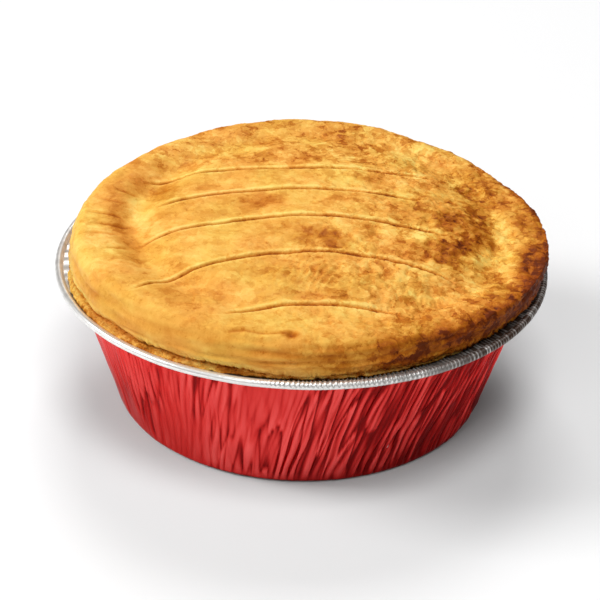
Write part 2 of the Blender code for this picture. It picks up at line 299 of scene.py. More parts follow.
def paint_rim_shade(material):
    """Dark brown painted shade and reflection on the rim, deepest in the dips of its crimps."""
    tree = material.node_tree
    shader = tree.nodes["Principled BSDF"]
    rim_shade_and_reflection = node(tree, "Attribute", attribute_name="rim_shade_and_reflection")
    mixed = node(tree, "Mix", data_type="RGBA")
    mixed.inputs[7].default_value = (0.055, 0.028, 0.016, 1)
    dulled = node(tree, "MapRange")
    dulled.inputs["To Min"].default_value = shader.inputs["Metallic"].default_value
    dulled.inputs["To Max"].default_value = 0.2
    link = tree.links.new
    link(rim_shade_and_reflection.outputs["Fac"], mixed.inputs[0])
    link(rim_shade_and_reflection.outputs["Fac"], dulled.inputs["Value"])
    link(tree.nodes["tint"].outputs["Color"], mixed.inputs[6])
    link(mixed.outputs[2], shader.inputs["Base Color"])
    link(dulled.outputs["Result"], shader.inputs["Metallic"])


RED_LACQUER = foil_material(
    "red_lacquer", (0.86, 0.070, 0.066, 1), (0.98, 0.115, 0.105, 1), (1.0, 0.35, 0.35, 1),
    roughness=0.24, dent_scale=420.0, dent_depth=0.12 * MM, metallic=0.92,
)
paint_fold_shading(RED_LACQUER, coat=0.08)
BARE_FOIL = foil_material(
    "bare_foil", (0.86, 0.85, 0.82, 1), (0.95, 0.94, 0.92, 1), (1.0, 1.0, 1.0, 1),
    roughness=0.34, dent_scale=600.0, dent_depth=0.05 * MM, metallic=0.65,
)
paint_rim_shade(BARE_FOIL)


def keep_sheet_place(mesh, stretch):
    """Store where each point lies on the sheet, drawn out down the wall, for the materials."""
    layer = mesh.verts.layers.float_vector.new("sheet_place")
    for vertex in mesh.verts:
        angle = math.atan2(vertex.co.y, vertex.co.x)
        across = math.hypot(vertex.co.x, vertex.co.y)
        down = (vertex.co.z - across) / stretch
        vertex[layer] = (SHEET_RADIUS * math.cos(angle), SHEET_RADIUS * math.sin(angle), down)


def wall_profile():
    """Wall from under the flange down, round the foot, and in to the middle of the base."""
    rows = []
    foot_middle = BASE_RADIUS - FOOT_RADIUS
    for row in range(WALL_ROWS + 1):
        share = row / WALL_ROWS
        height = WALL_TOP_HEIGHT + (FOOT_RADIUS - WALL_TOP_HEIGHT) * share
        rows.append((WALL_TOP_RADIUS + (BASE_RADIUS - WALL_TOP_RADIUS) * share, height))
    for degrees in (30, 60, 90):
        turn = math.radians(degrees)
        rows.append((foot_middle + FOOT_RADIUS * math.cos(turn), FOOT_RADIUS * (1 - math.sin(turn))))
    rows += [(foot_middle * share, 0.0) for share in BASE_RINGS]
    return rows


wall_mesh = lathe(wall_profile(), WALL_COLUMNS)
wall_fold_shading = wall_mesh.verts.layers.float.new("fold_shading")
for vertex in wall_mesh.verts:
    reach = math.hypot(vertex.co.x, vertex.co.y)
    height = vertex.co.z
    if reach > FOLDED_FROM:
        angle = math.atan2(vertex.co.y, vertex.co.x)
        fade = 0.25 * smooth_step(height / MM) + 0.75 * smooth_step((height - MM) / (3 * MM))
        fade *= 0.35 + 0.65 * smooth_step((WALL_TOP_HEIGHT - height) / (1.5 * MM))
        gather, folds = sheet_gather(angle, height)
        out = reach + gather * fade
        # Painted shade and highlight for the lacquer: darker in the creases and towards the shaded side,
        # paler on the ridges.
        painted_shading = SIDE_SHADE * smooth_step(1.3 * math.cos(angle - SHADED_SIDE) - 0.1)
        vertex[wall_fold_shading] = 0.5 + 0.5 * math.tanh((fade * folds - painted_shading) / FOLD_SHADING_SPREAD)
        turned = angle - slip(angle) * (WALL_TOP_HEIGHT - height) / SHEET_RADIUS
        vertex.co.x = out * math.cos(turned)
        vertex.co.y = out * math.sin(turned)
pressed = [vertex for vertex in wall_mesh.verts if vertex.co.to_2d().length > SMOOTHED_FROM]
bmesh.ops.smooth_vert(wall_mesh, verts=pressed, factor=SMOOTHING, use_axis_x=True, use_axis_y=True)
keep_sheet_place(wall_mesh, 6.0)
foil_wall = new_piece("foil_wall", wall_mesh, [RED_LACQUER, BARE_FOIL])
wall_sheet = foil_wall.modifiers.new("sheet", "SOLIDIFY")
wall_sheet.thickness = FOIL
wall_sheet.offset = -1.0
wall_sheet.material_offset = 1
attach(foil_wall, "root")
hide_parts("foil_tin")

# -- Foil tin: the flange and rolled bead ------------------------------------------------------
# The same sheet turns out in a narrow flange, bright side up, and its edge is rolled under in a
# round bead, smooth at the front left and finely crimped from the front round to the right. Dark
# brown painted shade and reflection of the lid lie on the crimps at the right, and a lighter
# painted reflection of the pastry on the far left.

RIM_COLUMNS = 1800
BEAD_RADIUS = 0.98 * MM
BEAD_HEIGHT = 37.95 * MM
BEAD_WANDER = ((1, 0.35 * MM, 235), (2, 0.35 * MM, 262))
BEAD_INSET = 0.08 * MM                    # the bead stays this far inside the tin's outline
FLANGE_START = 60.2 * MM
FLANGE_STEPS = 6
TEETH = 86                                # broad teeth round the tin
TOOTH_DEPTH = 0.50 * MM
CRIMPS = 360                              # fine crimps round the tin
CRIMP_DEPTH = 0.36 * MM
RIM_DENT = 0.10 * MM
CRIMPS_START = 258                        # direction, in degrees, where the crimps begin
CRIMPS_END = 372
RIM_SHADE_START = 268                         # direction, in degrees, where the painted shade on the crimps begins
RIM_PAINT_BLOTCH = 2.2 * MM
PASTRY_REFLECTION_SIDE = math.radians(172)
PASTRY_REFLECTION = 0.30


def wander(base, waves, angle):
    """A size that changes round the pie: each wave has a count, an amount and a direction."""
    return base + sum(
        amount * math.cos(count * (angle - math.radians(peak))) for count, amount, peak in waves
    )


def rim_profile():
    """From inside the wall's top, up and out along the flange, and over and under the bead."""
    bead_middle = RIM_RADIUS - BEAD_INSET - BEAD_RADIUS
    rows = [(59.35 * MM, 35.9 * MM), (59.6 * MM, 36.9 * MM), (59.8 * MM, 37.4 * MM)]
    flange_end = bead_middle - BEAD_RADIUS
    for step in range(FLANGE_STEPS + 1):
        share = step / FLANGE_STEPS
        rows.append((FLANGE_START + (flange_end - FLANGE_START) * share, FLANGE_HEIGHT))
    for degrees in range(190, -150, -20):
        turn = math.radians(degrees)
        out = bead_middle + BEAD_RADIUS * math.cos(turn)
        rows.append((out, BEAD_HEIGHT + BEAD_RADIUS * math.sin(turn)))
    return rows


def crimped(angle):
    """How strongly the rim is crimped: fully from the front round to the right, not on the left."""
    away = math.degrees(angle) % 360
    return smooth_step((away - CRIMPS_START) / 14) * smooth_step((CRIMPS_END - away) / 20)


def rim_rise(angle):
    """Height of the broad teeth on the flange and of the finer crimps over flange and bead."""
    drift = noise.noise(sheet_place(angle, 0.0, 7 * MM, 1.0, 21.0))
    uneven = 0.5 + 0.5 * smooth_step(0.9 + noise.noise(sheet_place(angle, 0.0, 3 * MM, 1.0, 23.0)))
    pressed_flat = smooth_step(math.cos(angle - math.radians(232)) * 3 - 1.6)
    tooth = 0.5 * TOOTH_DEPTH * math.cos(TEETH * angle + 2.2 * drift) * (0.6 + drift)
    tooth *= 1 - pressed_flat
    crimp = CRIMP_DEPTH * math.cos(CRIMPS * angle + 6.0 * drift) * crimped(angle) * uneven
    return tooth * (1 - 0.6 * crimped(angle)), crimp


rim_mesh = lathe(rim_profile(), RIM_COLUMNS)
rim_shade_reflection_layer = rim_mesh.verts.layers.float.new("rim_shade_and_reflection")
bead_middle = RIM_RADIUS - BEAD_INSET - BEAD_RADIUS
for vertex in rim_mesh.verts:
    angle = math.atan2(vertex.co.y, vertex.co.x)
    reach = math.hypot(vertex.co.x, vertex.co.y)
    tooth, crimp = rim_rise(angle)
    on_bead = smooth_step((reach - bead_middle + 1.02 * BEAD_RADIUS) / (0.3 * BEAD_RADIUS))
    on_flange = smooth_step((vertex.co.z - 37 * MM) / (0.5 * MM)) * (1 - on_bead)
    on_top = on_bead * smooth_step((vertex.co.z - BEAD_HEIGHT + 0.3 * BEAD_RADIUS) / (0.8 * BEAD_RADIUS))
    lift = wander(BEAD_HEIGHT, BEAD_WANDER, angle) - BEAD_HEIGHT
    lift *= smooth_step((reach - FLANGE_START) / (2.2 * MM))
    dent = RIM_DENT * noise.noise(sheet_place(angle, 0.0, 8 * MM, 1.0, 31.0))
    vertex.co.z += lift + dent + (tooth + crimp) * on_flange + 0.8 * crimp * on_top
    # Painted shade and reflection: dark brown on the crimps from the right round, deepest in their dips,
    # and a lighter painted reflection of the pastry on the far left.
    shaded_crimps = smooth_step((math.degrees(angle) % 360 - RIM_SHADE_START) / 50) * crimped(angle)
    blotch = noise.noise(sheet_place(angle, 0.0, RIM_PAINT_BLOTCH, 1.0, 27.0))
    dip = 0.50 + 0.85 * shaded_crimps - 0.8 * crimp / CRIMP_DEPTH + 0.9 * blotch
    pastry_reflection = PASTRY_REFLECTION * smooth_step(2.5 * math.cos(angle - PASTRY_REFLECTION_SIDE) - 1.5) * (0.7 + blotch)
    vertex[rim_shade_reflection_layer] = (shaded_crimps * smooth_step(dip) + pastry_reflection) * smooth_step((reach - 59 * MM) / MM)
    shrink = on_top * max(-crimp, 0.0) * 0.9 / reach
    vertex.co.x *= 1 - shrink
    vertex.co.y *= 1 - shrink
keep_sheet_place(rim_mesh, 2.0)
foil_rim = new_piece("foil_rim", rim_mesh, [BARE_FOIL, RED_LACQUER])
rim_sheet = foil_rim.modifiers.new("sheet", "SOLIDIFY")
rim_sheet.thickness = FOIL
rim_sheet.offset = -1.0
rim_sheet.material_offset = 1
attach(foil_rim, "root")
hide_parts("foil_tin")

# -- Pastry case -------------------------------------------------------------------------------
# Shortcrust that lines the tin and holds the beef filling, trimmed roughly at the flange. Only
# its crumbly, orange-brown edge shows, at the front left, where it spreads as far as the bead.

CASE_COLUMNS = 960
CASE_EDGE_RADIUS = 60.4 * MM
CASE_SPREAD = 2.5 * MM
CASE_SPREAD_ANGLE = math.radians(221)
CASE_SPREAD_REACH = math.radians(31)
CASE_LIP = 4.5 * MM
CASE_LUMPS = 0.42 * MM
CASE_CRUMBS = 0.32 * MM
CASE_LIP_STEPS = 9
CASE_INSET = 2.6 * MM
SEAM_HEIGHT = BEAD_HEIGHT + 1.7 * MM
SEAM_WANDER = ((1, 0.6 * MM, 165),)


def case_profile():
    """Middle of the top, out over the crumbly lip, down the hidden wall, middle of the base."""
    under = FLANGE_HEIGHT + 0.45 * MM
    half = (SEAM_HEIGHT - under) / 2
    rows = [(0.0, SEAM_HEIGHT), (0.6 * CASE_EDGE_RADIUS, SEAM_HEIGHT)]
    for step in range(CASE_LIP_STEPS + 1):
        back = CASE_LIP * (1 - step / CASE_LIP_STEPS)
        rows.append((CASE_EDGE_RADIUS - half - back, SEAM_HEIGHT))
    for degrees in (70, 50, 30, 10, -10, -30, -50, -70):
        turn = math.radians(degrees)
        rows.append((CASE_EDGE_RADIUS - half + half * math.cos(turn), under + half * (1 + math.sin(turn))))
    rows += [
        (CASE_EDGE_RADIUS - 2.5 * MM, under),
        (WALL_TOP_RADIUS - CASE_INSET - MM, FLANGE_HEIGHT - 2 * MM),
        (BASE_RADIUS - CASE_INSET, 2.4 * MM),
        (BASE_RADIUS - 1.6 * CASE_INSET, MM),
        (0.0, MM),
    ]
    return rows


def crumble(place, size):
    """Lumpy, crumbly surface: two scales of rounded bumps, from -1 to 1."""
    return noise.noise(place / size) + 0.55 * noise.noise(place / (0.45 * size))


def baked_pastry():
    """Node group: browning and painted shade, broken up in crisp flakes and specks: its colour, relief and
    gloss.
    """
    group = bpy.data.node_groups.new("baked_pastry", "ShaderNodeTree")
    for name in ("Bake", "Flaky", "Mottle", "Flake Scale", "Speck"):
        group.interface.new_socket(name, in_out="INPUT", socket_type="NodeSocketFloat")
    group.interface.new_socket("Color", in_out="OUTPUT", socket_type="NodeSocketColor")
    group.interface.new_socket("Height", in_out="OUTPUT", socket_type="NodeSocketFloat")
    group.interface.new_socket("Roughness", in_out="OUTPUT", socket_type="NodeSocketFloat")
    start = group.nodes.new("NodeGroupInput")
    end = group.nodes.new("NodeGroupOutput")
    link = group.links.new

    def math_node(operation, *inputs):
        made = node(group, "Math", operation=operation)
        for number, value in enumerate(inputs):
            if isinstance(value, float):
                made.inputs[number].default_value = value
            else:
                link(value, made.inputs[number])
        return made.outputs[0]

    def ranged(value, low, high, to_low, to_high):
        made = node(group, "MapRange", interpolation_type="SMOOTHSTEP", From_Min=low, From_Max=high)
        made.inputs["To Min"].default_value = to_low
        made.inputs["To Max"].default_value = to_high
        link(value, made.inputs["Value"])
        return made.outputs["Result"]

    def noise_texture(vector, scale, detail, roughness):
        made = node(group, "TexNoise", Scale=scale, Detail=detail, Roughness=roughness)
        link(vector, made.inputs["Vector"])
        return made

    place = node(group, "TexCoord").outputs["Object"]
    drift = noise_texture(place, 330.0, 3.0, 0.6)
    warp = node(group, "VectorMath", operation="MULTIPLY_ADD")
    warp.inputs[1].default_value = (3.2 * MM,) * 3
    link(drift.outputs["Color"], warp.inputs[0])
    link(place, warp.inputs[2])
    torn = warp.outputs[0]
    flake = node(group, "TexVoronoi", Randomness=1.0)
    small_flake = node(group, "TexVoronoi", Randomness=1.0)
    crack = node(group, "TexVoronoi", feature="DISTANCE_TO_EDGE", Randomness=1.0)
    for texture in (flake, small_flake, crack):
        link(torn, texture.inputs["Vector"])
    link(start.outputs["Flake Scale"], flake.inputs["Scale"])
    link(start.outputs["Flake Scale"], crack.inputs["Scale"])
    link(math_node("MULTIPLY", start.outputs["Flake Scale"], 2.7), small_flake.inputs["Scale"])
    tones = node(group, "SeparateColor")
    link(flake.outputs["Color"], tones.inputs[0])
    small_tones = node(group, "SeparateColor")
    link(small_flake.outputs["Color"], small_tones.inputs[0])
    mottle = noise_texture(torn, 130.0, 6.0, 0.62)
    patch = noise_texture(torn, 190.0, 5.0, 0.68)
    speck = noise_texture(place, 780.0, 3.0, 0.6)
    grain = noise_texture(place, 2300.0, 2.0, 0.5)

    flaky = start.outputs["Flaky"]
    mottled = math_node("SUBTRACT", mottle.outputs["Fac"], 0.5)
    bake_and_shade_sum = math_node("MULTIPLY_ADD", mottled, start.outputs["Mottle"], start.outputs["Bake"])
    flaked = math_node("MULTIPLY", math_node("SUBTRACT", tones.outputs[0], 0.5), 0.20)
    flaked = math_node("MULTIPLY_ADD", math_node("SUBTRACT", small_tones.outputs[0], 0.5), 0.20, flaked)
    flaked = math_node("MULTIPLY_ADD", ranged(patch.outputs["Fac"], 0.53, 0.56, 0.0, 1.0), 0.24, flaked)
    flaked = math_node("MULTIPLY_ADD", ranged(patch.outputs["Fac"], 0.42, 0.45, 1.0, 0.0), -0.12, flaked)
    flaked = math_node("MULTIPLY_ADD", ranged(crack.outputs["Distance"], 0.0, 0.05, 1.0, 0.0), 0.10, flaked)
    bake_and_shade_sum = math_node("MULTIPLY_ADD", flaked, flaky, bake_and_shade_sum)
    dots = ranged(speck.outputs["Fac"], 0.60, 0.70, 0.0, 1.0)
    bake_and_shade_sum = math_node("MULTIPLY_ADD", dots, start.outputs["Speck"], bake_and_shade_sum)
    bake_and_shade_sum = math_node("MULTIPLY_ADD", grain.outputs["Fac"], 0.10, bake_and_shade_sum)
    bake_and_shade_sum = math_node("SUBTRACT", bake_and_shade_sum, 0.05)
    tone = node(group, "ValToRGB")
    tone.color_ramp.elements[0].position = 0.0
    tone.color_ramp.elements[0].color = (0.97, 0.68, 0.19, 1)
    tone.color_ramp.elements[1].position = 1.0
    tone.color_ramp.elements[1].color = (0.13, 0.022, 0.003, 1)
    for position, colour in (
        (0.14, (0.92, 0.55, 0.125, 1)),
        (0.28, (0.84, 0.42, 0.076, 1)),
        (0.44, (0.70, 0.290, 0.040, 1)),
        (0.60, (0.53, 0.172, 0.014, 1)),
        (0.75, (0.38, 0.096, 0.006, 1)),
        (0.90, (0.25, 0.050, 0.004, 1)),
    ):
        tone.color_ramp.elements.new(position).color = colour
    link(bake_and_shade_sum, tone.inputs["Fac"])
    hue = noise_texture(place, 75.0, 2.0, 0.5)
    tint = node(group, "ValToRGB")
    tint.color_ramp.elements[0].position = 0.36
    tint.color_ramp.elements[0].color = (1.0, 0.91, 0.88, 1)
    tint.color_ramp.elements[1].position = 0.64
    tint.color_ramp.elements[1].color = (0.97, 1.02, 0.92, 1)
    link(hue.outputs["Fac"], tint.inputs["Fac"])
    tinted = node(group, "Mix", data_type="RGBA", blend_type="MULTIPLY")
    tinted.inputs[0].default_value = 1.0
    link(tone.outputs["Color"], tinted.inputs[6])
    link(tint.outputs["Color"], tinted.inputs[7])
    layered = math_node("MULTIPLY", math_node("ADD", tones.outputs[1], small_tones.outputs[1]), flaky)
    relief = math_node("MULTIPLY_ADD", speck.outputs["Fac"], 0.9, layered)
    relief = math_node("MULTIPLY_ADD", grain.outputs["Fac"], 0.35, relief)
    link(tinted.outputs[2], end.inputs["Color"])
    link(relief, end.inputs["Height"])
    link(ranged(speck.outputs["Fac"], 0.3, 0.7, 0.44, 0.64), end.inputs["Roughness"])
    return group


BAKED_PASTRY = baked_pastry()


def pastry_material(name, mottle, flake_scale, speck, step_height):
    """Baked pastry: the browning and painted shade are stored on the mesh and broken up by the group."""
    material = bpy.data.materials.new(name)
    material.use_nodes = True
    tree = material.node_tree
    shader = tree.nodes["Principled BSDF"]
    bake_and_shade_input = node(tree, "Attribute", attribute_name="bake_and_shade")
    flakiness = node(tree, "Attribute", attribute_name="flaky")
    pastry = node(tree, "Group", node_tree=BAKED_PASTRY)
    pastry.inputs["Mottle"].default_value = mottle
    pastry.inputs["Flake Scale"].default_value = flake_scale
    pastry.inputs["Speck"].default_value = speck
    bump = node(tree, "Bump", Distance=step_height, Strength=1.0)
    link = tree.links.new
    link(bake_and_shade_input.outputs["Fac"], pastry.inputs["Bake"])
    link(flakiness.outputs["Fac"], pastry.inputs["Flaky"])
    link(pastry.outputs["Color"], shader.inputs["Base Color"])
    link(pastry.outputs["Roughness"], shader.inputs["Roughness"])
    link(pastry.outputs["Height"], bump.inputs["Height"])
    link(bump.outputs["Normal"], shader.inputs["Normal"])
    shader.inputs["Specular IOR Level"].default_value = 0.06
    return material


CASE_CRUST = pastry_material("case_crust", 0.3, 520.0, 0.16, 0.12 * MM)

case_mesh = lathe(case_profile(), CASE_COLUMNS)
case_bake_and_shade = case_mesh.verts.layers.float.new("bake_and_shade")
case_flaky = case_mesh.verts.layers.float.new("flaky")
lip_start = CASE_EDGE_RADIUS - 2.2 * MM
for vertex in case_mesh.verts:
    angle = math.atan2(vertex.co.y, vertex.co.x)
    reach = math.hypot(vertex.co.x, vertex.co.y)
    if vertex.co.z > SEAM_HEIGHT - 0.01 * MM and reach > 0.5 * CASE_EDGE_RADIUS:
        vertex.co.z = wander(SEAM_HEIGHT, SEAM_WANDER, angle)
    lumps = crumble(vertex.co, 1.7 * MM)
    if reach > lip_start:
        away = (angle % math.tau - CASE_SPREAD_ANGLE) / CASE_SPREAD_REACH
        spread = CASE_SPREAD * math.exp(-away ** 4)
        out = spread + CASE_LUMPS * lumps
        vertex.co.x *= 1 + out / reach
        vertex.co.y *= 1 + out / reach
        if vertex.co.z > FLANGE_HEIGHT + 0.6 * MM:
            vertex.co.z += CASE_CRUMBS * (crumble(vertex.co, 1.3 * MM) - 0.6)
    # Browning with painted shade: the crust is darker in the dips between lumps and paler on them.
    vertex[case_bake_and_shade] = 0.27 - 0.16 * lumps
    vertex[case_flaky] = 1.0
pastry_case = new_piece("pastry_case", case_mesh, [CASE_CRUST])
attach(pastry_case, "root")
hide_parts("base_crust")

# -- Lid ---------------------------------------------------------------------------------------
# A round of puff pastry, laid on the case, washed with egg and scored across with a knife. It
# puffed most at its edge and in the middle, with a ring channel between, and came out crooked:
# high and pale on the left, lower, rougher and browner on the right. Painted shade adds to the
# brown of its right side and darkens its score cuts, creases and hollows.

LID_GRID = 262                            # squares along each side of the grid the lid starts as
LID_CENTRE = Vector((2.0 * MM, -0.9 * MM))
LID_RADIUS = 62.1 * MM
LID_RADIUS_WANDER = ((2, 1.35 * MM, 53), (3, 0.7 * MM, -24), (4, 0.3 * MM, 2))
LID_CREST = BEAD_HEIGHT + 12.3 * MM
LID_CREST_WANDER = ((1, 2.0 * MM, 155), (2, 0.45 * MM, 72))
LID_WIDEST = BEAD_HEIGHT + 6.3 * MM
LID_WIDEST_WANDER = ((1, 2.0 * MM, -33),)
LID_SHOULDER = 6.1 * MM
LID_SHOULDER_WANDER = ((1, 1.7 * MM, 7),)
LID_SHOULDER_POWER = 0.79
LID_DOME = BEAD_HEIGHT + 14.6 * MM
LID_UNDERCUT = 1.15 * MM
LID_UNDERCUT_WANDER = ((1, 0.85 * MM, 245),)
LID_GAP = 0.2 * MM
CHANNEL_PLACE = 0.775
CHANNEL_PLACE_TO_RIGHT = 0.035
CHANNEL_WIDTH = 6.0 * MM
CHANNEL_WIDTH_TO_RIGHT = 1.0 * MM
CHANNEL_DEPTH = 0.8 * MM
CHANNEL_DEPTH_AT_SIDES = 2.2 * MM
CHANNEL_DEPTH_TO_RIGHT = 0.3 * MM
PUFF_HEIGHT = 0.45 * MM
PUFF_SIZE = 11.0 * MM
TOP_SHARE = 0.76                          # of the way from the lid's middle to its foot
SHOULDER_SHARE = 0.885

# Knife scores, back to front, in the lid's own turned plan: where each arc's middle lies, its
# radius, and its left and right ends.
SCORE_TURN = math.radians(4.8)
SCORES = (
    (26.4 * MM, 206 * MM, -44 * MM, 40 * MM),
    (13.1 * MM, 126 * MM, -41 * MM, 35 * MM),
    (-2.5 * MM, 103 * MM, -46 * MM, 39 * MM),
    (-20.5 * MM, 72 * MM, -48 * MM, 38 * MM),
    (-43.3 * MM, 65 * MM, -26 * MM, 24 * MM),
)
CUT_WIDTH = 0.42 * MM
CUT_DEPTH = 0.62 * MM
FAR_LIP_PLACE = 1.15 * MM
FAR_LIP_WIDTH = 0.80 * MM
FAR_LIP_HEIGHT = 0.20 * MM
NEAR_LIP_PLACE = -1.0 * MM
NEAR_LIP_WIDTH = 0.55 * MM
NEAR_LIP_HEIGHT = 0.09 * MM

# Relief of the lid's skin: its layers, the flakes on them, and the finer marks.
LAYERS_DEPTH = 0.75 * MM
FLAKES_DEPTH = 0.40 * MM
RIPPLE_DEPTH = 0.16 * MM
BLISTER_HEIGHT = 0.26 * MM
WRINKLE_DEPTH = 0.26 * MM
GRAIN_HEIGHT = 0.14 * MM
STRATA_DEPTH = 0.75 * MM                  # layers that show round the lid's side
SLIT_DEPTH = 0.4 * MM
LEFT_CREASE_DEPTH = 0.45 * MM
FRONT_CRACK_DEPTH = 0.7 * MM
PUCKER_HEIGHT = 0.20 * MM

# Creases across the puffed ring on the left: direction in degrees, inner and outer ends.
CREASES = (
    (166.5, 46 * MM, 54 * MM), (173.5, 48 * MM, 57 * MM), (181.5, 48 * MM, 59 * MM),
    (187.5, 46 * MM, 57 * MM), (193, 50 * MM, 59.5 * MM), (201, 49 * MM, 57 * MM),
)

PLAIN_BAKE = 0.28                         # browning of the plain skin, from 0 to 1

# Browner (+) and paler (-) places on the lid's plan: x, y, half width, half depth, amount.
BROWNING = (
    # the dome's right flank, brownest of all
    (45.5, 15, 4.5, 7.5, 0.38), (41, 3, 4.5, 6.5, 0.32), (36, 0.5, 3, 4.5, 0.26),
    (45.5, -1, 3, 4.5, 0.30), (42.5, -6.5, 3, 4, 0.32), (34.5, -14, 5, 5.5, 0.42),
    (39.5, -11, 3.5, 3, 0.25), (26, -15, 6, 5, 0.24), (32, -7, 4, 2, 0.16), (27, 4, 8.5, 6, 0.16),
    (33, 8, 7, 7, 0.14), (45, 28, 4.5, 7, 0.28), (37, 15.5, 1.6, 1.8, 0.25),
    # the middle
    (17.5, 22, 3, 3.5, 0.20), (-12.5, 6, 5.5, 4, 0.26), (6.5, -14.5, 4, 4, 0.36), (-1, -10, 5, 2, 0.18),
    (2, -13, 8, 4, 0.10), (14, -8, 4, 3, 0.12), (10.5, -37, 4.5, 4.5, 0.20), (16.3, -25, 2, 3, 0.20),
    (0, -31, 9, 7, 0.09), (-5, -35, 3, 2, 0.12),
    # the channel and ring on the left
    (-39.3, 12.5, 3, 5, 0.18), (-49.5, -3, 3.5, 6, 0.16), (-48, -11, 4.5, 5, 0.14),
    (-45.5, -19, 3, 6, 0.14), (-42.6, -24.6, 1.6, 1.6, 0.30), (-52, 8, 5, 9, 0.10),
    (-46, 19, 3, 4, 0.14), (-42, 26, 3, 3, 0.14),
    # back, right edge and front
    (8, 49, 5, 8, 0.18), (-2, 33.5, 1.5, 2.5, 0.26), (-8, 33, 10, 4, 0.06), (-25, 50, 14, 8, 0.07),
    (-10, 56, 20, 4, 0.06), (57, -17, 4, 10, 0.30), (54, 15, 4, 8, 0.16), (59, -2, 4, 14, 0.14),
    (-33, -39, 9, 6, 0.08), (-4, -58, 2, 1.6, 0.35), (26, -50, 8, 8, 0.10), (36, -42, 10, 8, 0.06),
    (48, -28, 5, 8, 0.06),
    # paler
    (-59, 2, 5, 12, -0.12), (-44.5, 0, 3.5, 11, -0.18), (-41, -10, 3.5, 4, -0.10),
    (-55, -21, 6, 11, -0.17), (-37, 25, 7, 3, -0.10), (-5, 29, 9, 1.5, -0.08), (24, -7, 6.5, 3, -0.18),
    (23.5, 21, 4, 3, -0.12), (28, 45, 8, 5, -0.10), (-3, 7, 4, 5, -0.08), (53, 2, 3.5, 9, -0.08),
    (51, -17, 3, 8, -0.10), (-27, -17, 11, 7, -0.05), (8, 16, 14, 4, -0.04), (22, -26, 6, 4, -0.06),
    (-10, -50, 12, 5, -0.05),
)


def channel_drop(radius, angle, outline):
    """Depth of the ring channel that runs between the puffed edge and the dome."""
    rightward = math.cos(angle)
    middle = (CHANNEL_PLACE + CHANNEL_PLACE_TO_RIGHT * rightward) * outline
    width = CHANNEL_WIDTH + CHANNEL_WIDTH_TO_RIGHT * rightward
    depth = CHANNEL_DEPTH + CHANNEL_DEPTH_AT_SIDES * rightward ** 2 + CHANNEL_DEPTH_TO_RIGHT * rightward
    return depth * math.exp(-((radius - middle) / width) ** 2)


def lid_top_height(radius, angle):
    """Height of the lid's top inside its crest, without flakes and scores."""
    outline = wander(LID_RADIUS, LID_RADIUS_WANDER, angle)
    crest = wander(LID_CREST, LID_CREST_WANDER, angle)
    crest_radius = outline - wander(LID_SHOULDER, LID_SHOULDER_WANDER, angle)
    dome = LID_DOME + (crest - LID_DOME) * smooth_step(radius / crest_radius)
    fade = smooth_step((crest_radius - radius) / (4 * MM) + 1)
    place = Vector((radius * math.cos(angle) / PUFF_SIZE, radius * math.sin(angle) / PUFF_SIZE, 2.0))
    return dome - channel_drop(radius, angle, outline) * fade + PUFF_HEIGHT * noise.noise(place)


def lid_place(share, angle):
    """Radius and height of the plain lid, from its middle (0) over its crest to its foot (1)."""
    outline = wander(LID_RADIUS, LID_RADIUS_WANDER, angle)
    shoulder = wander(LID_SHOULDER, LID_SHOULDER_WANDER, angle)
    widest = wander(LID_WIDEST, LID_WIDEST_WANDER, angle)
    crest_radius = outline - shoulder
    if share <= TOP_SHARE:
        radius = crest_radius * share / TOP_SHARE
        return radius, lid_top_height(radius, angle)
    if share <= SHOULDER_SHARE:
        crest = lid_top_height(crest_radius, angle)
        turn = math.pi / 2 * (SHOULDER_SHARE - share) / (SHOULDER_SHARE - TOP_SHARE)
        out = max(math.cos(turn), 0.0) ** LID_SHOULDER_POWER
        rise = max(math.sin(turn), 0.0) ** LID_SHOULDER_POWER
        return crest_radius + shoulder * out, widest + (crest - widest) * rise
    down = (share - SHOULDER_SHARE) / (1 - SHOULDER_SHARE)
    undercut = wander(LID_UNDERCUT, LID_UNDERCUT_WANDER, angle)
    foot = wander(SEAM_HEIGHT, SEAM_WANDER, angle) + LID_GAP
    return outline - undercut * down ** 2.4, widest + (foot - widest) * down


def disc_place(x, y):
    """Fold a square of half side 1 into a disc of radius 1, keeping every square's area."""
    if x == 0 and y == 0:
        return 0.0, 0.0
    if abs(x) > abs(y):
        return abs(x), (math.pi / 4) * (y / x) + (math.pi if x < 0 else 0.0)
    return abs(y), math.pi / 2 - (math.pi / 4) * (x / y) + (math.pi if y < 0 else 0.0)


def near_score(x, y):
    """Signed distance across the nearest knife score, and how fully it is cut there."""
    along = x * math.cos(SCORE_TURN) + y * math.sin(SCORE_TURN)
    across = -x * math.sin(SCORE_TURN) + y * math.cos(SCORE_TURN)
    best = (1.0, 0.0)
    for number, (middle, radius, left, right) in enumerate(SCORES):
        wobble = 0.35 * MM * noise.noise(Vector((along / (7 * MM), number * 5.0, 1.0)))
        gap = across - wobble - (middle + math.sqrt(radius ** 2 - along ** 2) - radius)
        ends = smooth_step((along - left) / (7 * MM)) * smooth_step((right - along) / (12 * MM))
        if abs(gap) < abs(best[0]):
            best = (gap, ends)
    return best


def bell(distance, width):
    return math.exp(-(distance / width) ** 2)


def score_relief(gap, cut):
    """Cut, raised far lip and smaller near lip, as height."""
    if abs(gap) > 4 * MM:
        return 0.0
    relief = -CUT_DEPTH * bell(gap, CUT_WIDTH)
    relief += FAR_LIP_HEIGHT * bell(gap - FAR_LIP_PLACE, FAR_LIP_WIDTH)
    relief += NEAR_LIP_HEIGHT * bell(gap - NEAR_LIP_PLACE, NEAR_LIP_WIDTH)
    return relief * cut


